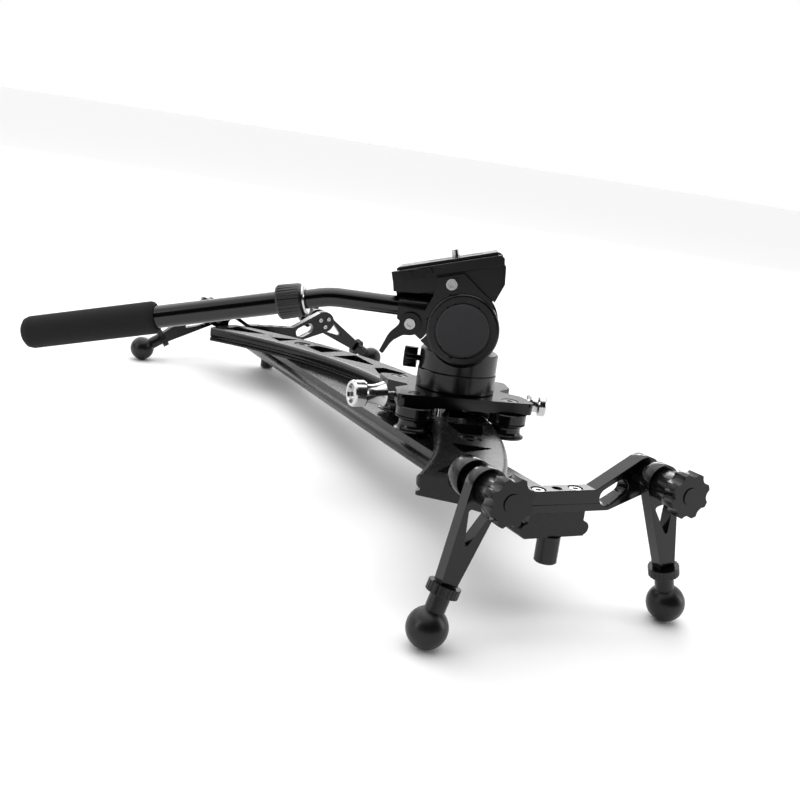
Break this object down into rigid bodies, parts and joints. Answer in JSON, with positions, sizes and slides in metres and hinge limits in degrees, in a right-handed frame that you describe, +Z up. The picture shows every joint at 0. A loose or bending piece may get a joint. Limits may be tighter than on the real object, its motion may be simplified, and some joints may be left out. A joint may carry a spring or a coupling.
{
  "type": "camera slider",
  "caption": "Curved-track camera slider on a straight base rail with folding ball-foot legs, a roller carriage and a pan-and-tilt head with a long handle.",
  "frame": {"origin": "middle of the footprint's bounding box, on the plane the four ball feet stand on", "axes": "+X along the rail towards its raised near end, level with the floor; +Z up; +Y across the rail towards the outer side of the curved track"},
  "size_m": [0.687, 0.4504, 0.2135],
  "materials": {
    "anodised_black": "satin black anodised",
    "gloss_black": "glossy black",
    "black_metal": "semi-gloss black",
    "bolt_black": "black oxide",
    "bright_steel": "bright",
    "chrome": "polished",
    "rubber_black": "satin",
    "knob_black": "glossy black",
    "head_black": "semi-matte black powder coat",
    "cap_grey": "matte charcoal",
    "tube_black": "satin black",
    "collar_black": "ribbed satin black",
    "grip_foam": "matte foam"
  },
  "bodies": {
    "slider": {"base_rail": "anodised_black", "curved_track": "anodised_black", "track_bolts": "bolt_black", "bracket_near": "gloss_black", "bracket_far": "gloss_black", "bracket_screws": "bright_steel", "leg_axles": "gloss_black", "axle_screws": "bright_steel", "stand_studs": "bolt_black"},
    "leg_near_inner": {"leg_arm_near_inner": "gloss_black"},
    "ring_near_inner": {"lock_ring_near_inner": "black_metal"},
    "foot_near_inner": {"ball_foot_near_inner": "rubber_black"},
    "knob_near_inner": {"star_knob_near_inner": "knob_black"},
    "leg_near_outer": {"leg_arm_near_outer": "gloss_black"},
    "ring_near_outer": {"lock_ring_near_outer": "black_metal"},
    "foot_near_outer": {"ball_foot_near_outer": "rubber_black"},
    "knob_near_outer": {"star_knob_near_outer": "knob_black"},
    "leg_far_inner": {"leg_arm_far_inner": "gloss_black"},
    "ring_far_inner": {"lock_ring_far_inner": "black_metal"},
    "foot_far_inner": {"ball_foot_far_inner": "rubber_black"},
    "knob_far_inner": {"star_knob_far_inner": "knob_black"},
    "leg_far_outer": {"leg_arm_far_outer": "gloss_black"},
    "ring_far_outer": {"lock_ring_far_outer": "black_metal"},
    "foot_far_outer": {"ball_foot_far_outer": "rubber_black"},
    "knob_far_outer": {"star_knob_far_outer": "knob_black"},
    "carriage": {"carriage_plate": "gloss_black", "roller_discs": "gloss_black", "roller_bearings": "bright_steel", "roller_bolts": "bolt_black", "guide_pin": "bright_steel", "head_bolt": "bolt_black", "head_base": "head_black"},
    "roller_near_inner": {"roller_near_inner": "black_metal"},
    "roller_near_outer": {"roller_near_outer": "black_metal"},
    "roller_far_inner": {"roller_far_inner": "black_metal"},
    "roller_far_outer": {"roller_far_outer": "black_metal"},
    "brake_knob_inner": {"brake_knob_inner": "chrome"},
    "brake_knob_outer": {"brake_knob_outer": "chrome"},
    "brake_knob_rear": {"brake_knob_rear": "chrome"},
    "pan": {"pan_body": "head_black", "tilt_drum": "head_black"},
    "pan_lock": {"pan_lock_knob": "knob_black"},
    "tilt": {"tilt_cradle": "head_black", "cheek_handle_side": "head_black", "cheek_far_side": "head_black", "side_caps": "cap_grey", "cheek_bolts": "bright_steel", "plate_receiver": "head_black", "tilt_axle": "bright_steel"},
    "camera_plate": {"quick_plate": "anodised_black"},
    "camera_screw": {"camera_screw": "bright_steel"},
    "plate_lock": {"plate_lock_lever": "knob_black"},
    "handle": {"handle_clamp": "head_black", "inner_tube": "tube_black", "clamp_bolt": "bright_steel"},
    "clamp_lever": {"clamp_lever": "knob_black"},
    "grip_tube": {"outer_tube": "tube_black", "foam_grip": "grip_foam"},
    "collar": {"twist_collar": "collar_black", "collar_ring": "chrome"}
  },
  "joints": [
    {"name": "leg_fold_near_inner", "type": "hinge", "parent": "slider", "child": "leg_near_inner", "pos_m": [0.31298, 0.00185, 0.09974], "axis": [-0.9979, 0, -0.0654], "range_deg": [-16.8, 83.2]},
    {"name": "ring_turn_near_inner", "type": "hinge", "parent": "leg_near_inner", "child": "ring_near_inner", "pos_m": [0.31298, 0.00185, 0.09974], "axis": [-0.0626, 0.289, 0.9553], "continuous": true},
    {"name": "foot_screw_near_inner", "type": "slide", "parent": "leg_near_inner", "child": "foot_near_inner", "axis": [0.0626, -0.289, -0.9553], "range_m": [0, 0.008]},
    {"name": "knob_turn_near_inner", "type": "hinge", "parent": "slider", "child": "knob_near_inner", "pos_m": [0.31298, 0.00185, 0.09974], "axis": [0.9979, 0, 0.0654], "continuous": true},
    {"name": "leg_fold_near_outer", "type": "hinge", "parent": "slider", "child": "leg_near_outer", "pos_m": [0.31298, 0.13385, 0.09974], "axis": [0.9979, 0, 0.0654], "range_deg": [-16.8, 83.2]},
    {"name": "ring_turn_near_outer", "type": "hinge", "parent": "leg_near_outer", "child": "ring_near_outer", "pos_m": [0.31298, 0.13385, 0.09974], "axis": [-0.0626, -0.289, 0.9553], "continuous": true},
    {"name": "foot_screw_near_outer", "type": "slide", "parent": "leg_near_outer", "child": "foot_near_outer", "axis": [0.0626, 0.289, -0.9553], "range_m": [0, 0.008]},
    {"name": "knob_turn_near_outer", "type": "hinge", "parent": "slider", "child": "knob_near_outer", "pos_m": [0.31298, 0.13385, 0.09974], "axis": [0.9979, 0, 0.0654], "continuous": true},
    {"name": "leg_fold_far_inner", "type": "hinge", "parent": "slider", "child": "leg_far_inner", "pos_m": [-0.31298, 0.00185, 0.05871], "axis": [-0.9979, 0, -0.0654], "range_deg": [-59.7, 40.3]},
    {"name": "ring_turn_far_inner", "type": "hinge", "parent": "leg_far_inner", "child": "ring_far_inner", "pos_m": [-0.31298, 0.00185, 0.05871], "axis": [-0.033, 0.8634, 0.5034], "continuous": true},
    {"name": "foot_screw_far_inner", "type": "slide", "parent": "leg_far_inner", "child": "foot_far_inner", "axis": [0.033, -0.8634, -0.5034], "range_m": [0, 0.008]},
    {"name": "knob_turn_far_inner", "type": "hinge", "parent": "slider", "child": "knob_far_inner", "pos_m": [-0.31298, 0.00185, 0.05871], "axis": [-0.9979, 0, -0.0654], "continuous": true},
    {"name": "leg_fold_far_outer", "type": "hinge", "parent": "slider", "child": "leg_far_outer", "pos_m": [-0.31298, 0.13385, 0.05871], "axis": [0.9979, 0, 0.0654], "range_deg": [-59.7, 40.3]},
    {"name": "ring_turn_far_outer", "type": "hinge", "parent": "leg_far_outer", "child": "ring_far_outer", "pos_m": [-0.31298, 0.13385, 0.05871], "axis": [-0.033, -0.8634, 0.5034], "continuous": true},
    {"name": "foot_screw_far_outer", "type": "slide", "parent": "leg_far_outer", "child": "foot_far_outer", "axis": [0.033, 0.8634, -0.5034], "range_m": [0, 0.008]},
    {"name": "knob_turn_far_outer", "type": "hinge", "parent": "slider", "child": "knob_far_outer", "pos_m": [-0.31298, 0.13385, 0.05871], "axis": [-0.9979, 0, -0.0654], "continuous": true},
    {"name": "carriage_travel", "type": "hinge", "parent": "slider", "child": "carriage", "pos_m": [0.00059, -0.29765, 0.07024], "axis": [0.0654, 0, -0.9979], "range_deg": [-45.6, 18]},
    {"name": "roller_spin_near_inner", "type": "hinge", "parent": "carriage", "child": "roller_near_inner", "pos_m": [0.12075, 0.05309, 0.067], "axis": [0.0654, 0, -0.9979], "continuous": true},
    {"name": "roller_spin_near_outer", "type": "hinge", "parent": "carriage", "child": "roller_near_outer", "pos_m": [0.13897, 0.12837, 0.06819], "axis": [0.0654, 0, -0.9979], "continuous": true},
    {"name": "roller_spin_far_inner", "type": "hinge", "parent": "carriage", "child": "roller_far_inner", "pos_m": [0.05558, 0.06893, 0.06272], "axis": [0.0654, 0, -0.9979], "continuous": true},
    {"name": "roller_spin_far_outer", "type": "hinge", "parent": "carriage", "child": "roller_far_outer", "pos_m": [0.07381, 0.14421, 0.06392], "axis": [0.0654, 0, -0.9979], "continuous": true},
    {"name": "brake_knob_inner_turn", "type": "hinge", "parent": "carriage", "child": "brake_knob_inner", "pos_m": [0.10102, 0.05711, 0.09026], "axis": [-0.0007, -1, 0], "continuous": true},
    {"name": "brake_knob_outer_turn", "type": "hinge", "parent": "carriage", "child": "brake_knob_outer", "pos_m": [0.1168, 0.13714, 0.09129], "axis": [0.4629, 0.8859, 0.0303], "continuous": true},
    {"name": "brake_knob_rear_turn", "type": "hinge", "parent": "carriage", "child": "brake_knob_rear", "pos_m": [0.07832, 0.15421, 0.08877], "axis": [-0.9697, 0.2358, -0.0636], "continuous": true},
    {"name": "pan_turn", "type": "hinge", "parent": "carriage", "child": "pan", "pos_m": [0.09463, 0.10001, 0.11088], "axis": [-0.0654, 0, 0.9979], "continuous": true},
    {"name": "pan_lock_turn", "type": "hinge", "parent": "pan", "child": "pan_lock", "pos_m": [0.0772, 0.07108, 0.11535], "axis": [-0.508, -0.8607, -0.0333], "continuous": true},
    {"name": "tilt_turn", "type": "hinge", "parent": "pan", "child": "tilt", "pos_m": [0.0922, 0.10001, 0.148], "axis": [0.8589, -0.509, 0.0563], "range_deg": [-75, 10]},
    {"name": "plate_slide", "type": "slide", "parent": "tilt", "child": "camera_plate", "axis": [0.4702, 0.8274, 0.3071], "range_m": [-0.02, 0.012]},
    {"name": "camera_screw_turn", "type": "hinge", "parent": "camera_plate", "child": "camera_screw", "pos_m": [0.0823, 0.08899, 0.19935], "axis": [-0.2029, -0.2373, 0.95], "continuous": true},
    {"name": "plate_lock_swing", "type": "hinge", "parent": "tilt", "child": "plate_lock", "pos_m": [0.08877, 0.0447, 0.18504], "axis": [0.8589, -0.509, 0.0563], "range_deg": [0, 60]},
    {"name": "handle_swing", "type": "hinge", "parent": "tilt", "child": "handle", "pos_m": [0.0709, 0.06385, 0.146], "axis": [-0.8589, 0.509, -0.0563], "range_deg": [-10, 10]},
    {"name": "clamp_lever_swing", "type": "hinge", "parent": "handle", "child": "clamp_lever", "pos_m": [0.0709, 0.06385, 0.146], "axis": [-0.8589, 0.509, -0.0563], "range_deg": [-15, 25]},
    {"name": "handle_extend", "type": "slide", "parent": "handle", "child": "grip_tube", "axis": [-0.4757, -0.8337, -0.2804], "range_m": [0, 0.07]},
    {"name": "collar_twist", "type": "hinge", "parent": "grip_tube", "child": "collar", "pos_m": [0.04447, -0.00996, 0.15359], "axis": [-0.4757, -0.8337, -0.2804], "continuous": true}
  ],
  "couplings": [
    {"joint": "roller_spin_near_inner", "follows": "carriage_travel", "ratio": -31.892},
    {"joint": "roller_spin_near_outer", "follows": "carriage_travel", "ratio": 36.308},
    {"joint": "roller_spin_far_inner", "follows": "carriage_travel", "ratio": -31.892},
    {"joint": "roller_spin_far_outer", "follows": "carriage_travel", "ratio": 36.308}
  ]
}
